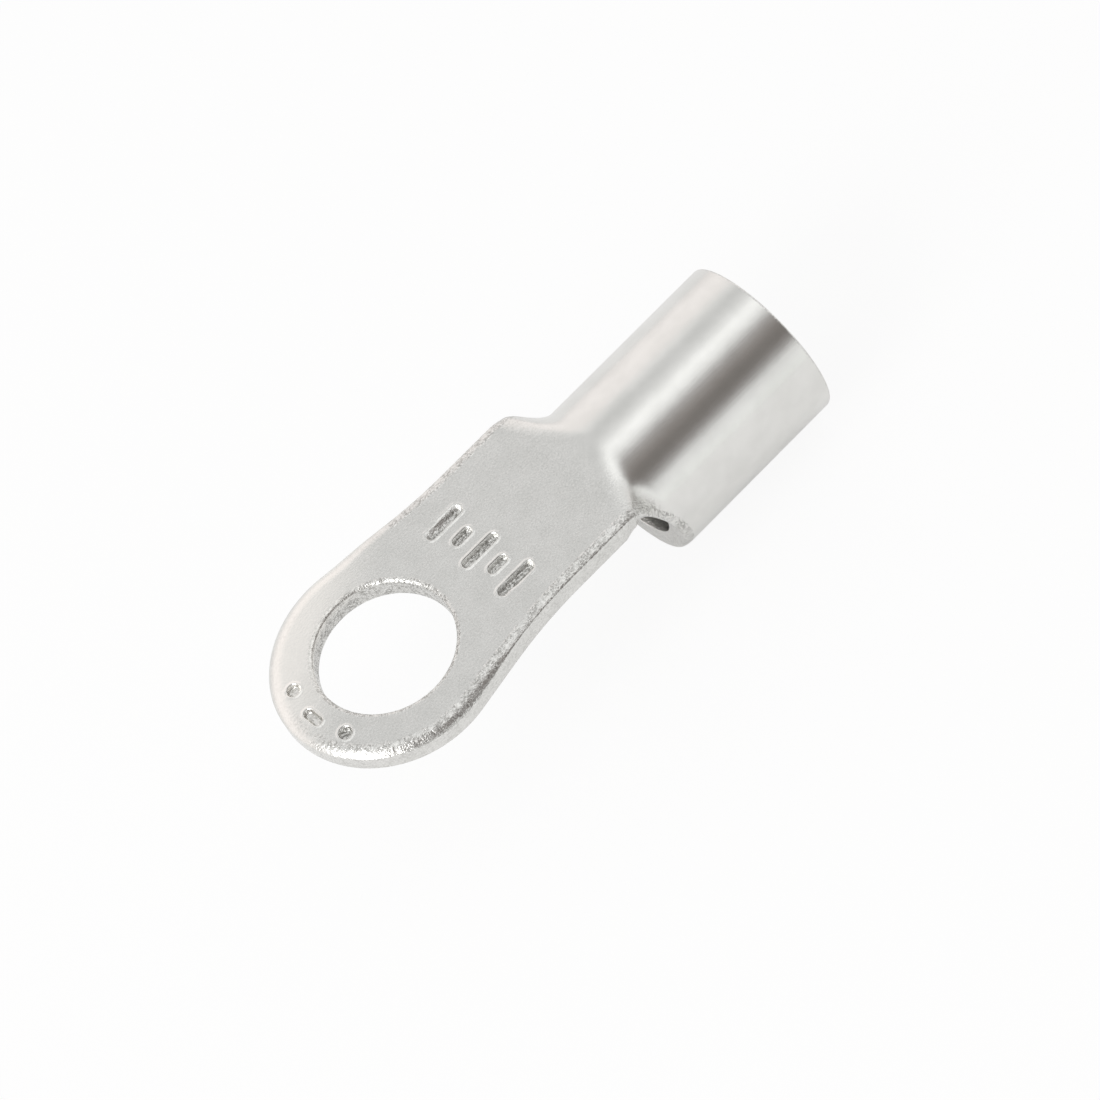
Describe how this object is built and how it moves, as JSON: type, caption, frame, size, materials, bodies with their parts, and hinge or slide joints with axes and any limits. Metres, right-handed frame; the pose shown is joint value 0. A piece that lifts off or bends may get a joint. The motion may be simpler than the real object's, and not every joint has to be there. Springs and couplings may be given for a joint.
{
  "type": "ring terminal",
  "caption": "Bare ring terminal folded from one tinned copper sheet: a flat ring with a stud hole, a short tongue and a closed round crimp barrel for stranded cable.",
  "frame": {"origin": "centre of the stud hole, on the flat back face of the tongue", "axes": "+X from the stud hole along the barrel, +Z out of the flat back face, +Y across the tongue; the barrel hangs on the -Z side"},
  "size_m": [0.036, 0.0136, 0.0108],
  "materials": {
    "tinned_copper": "satin tin plating over copper"
  },
  "bodies": {
    "root": {"terminal": "tinned_copper"}
  },
  "joints": []
}
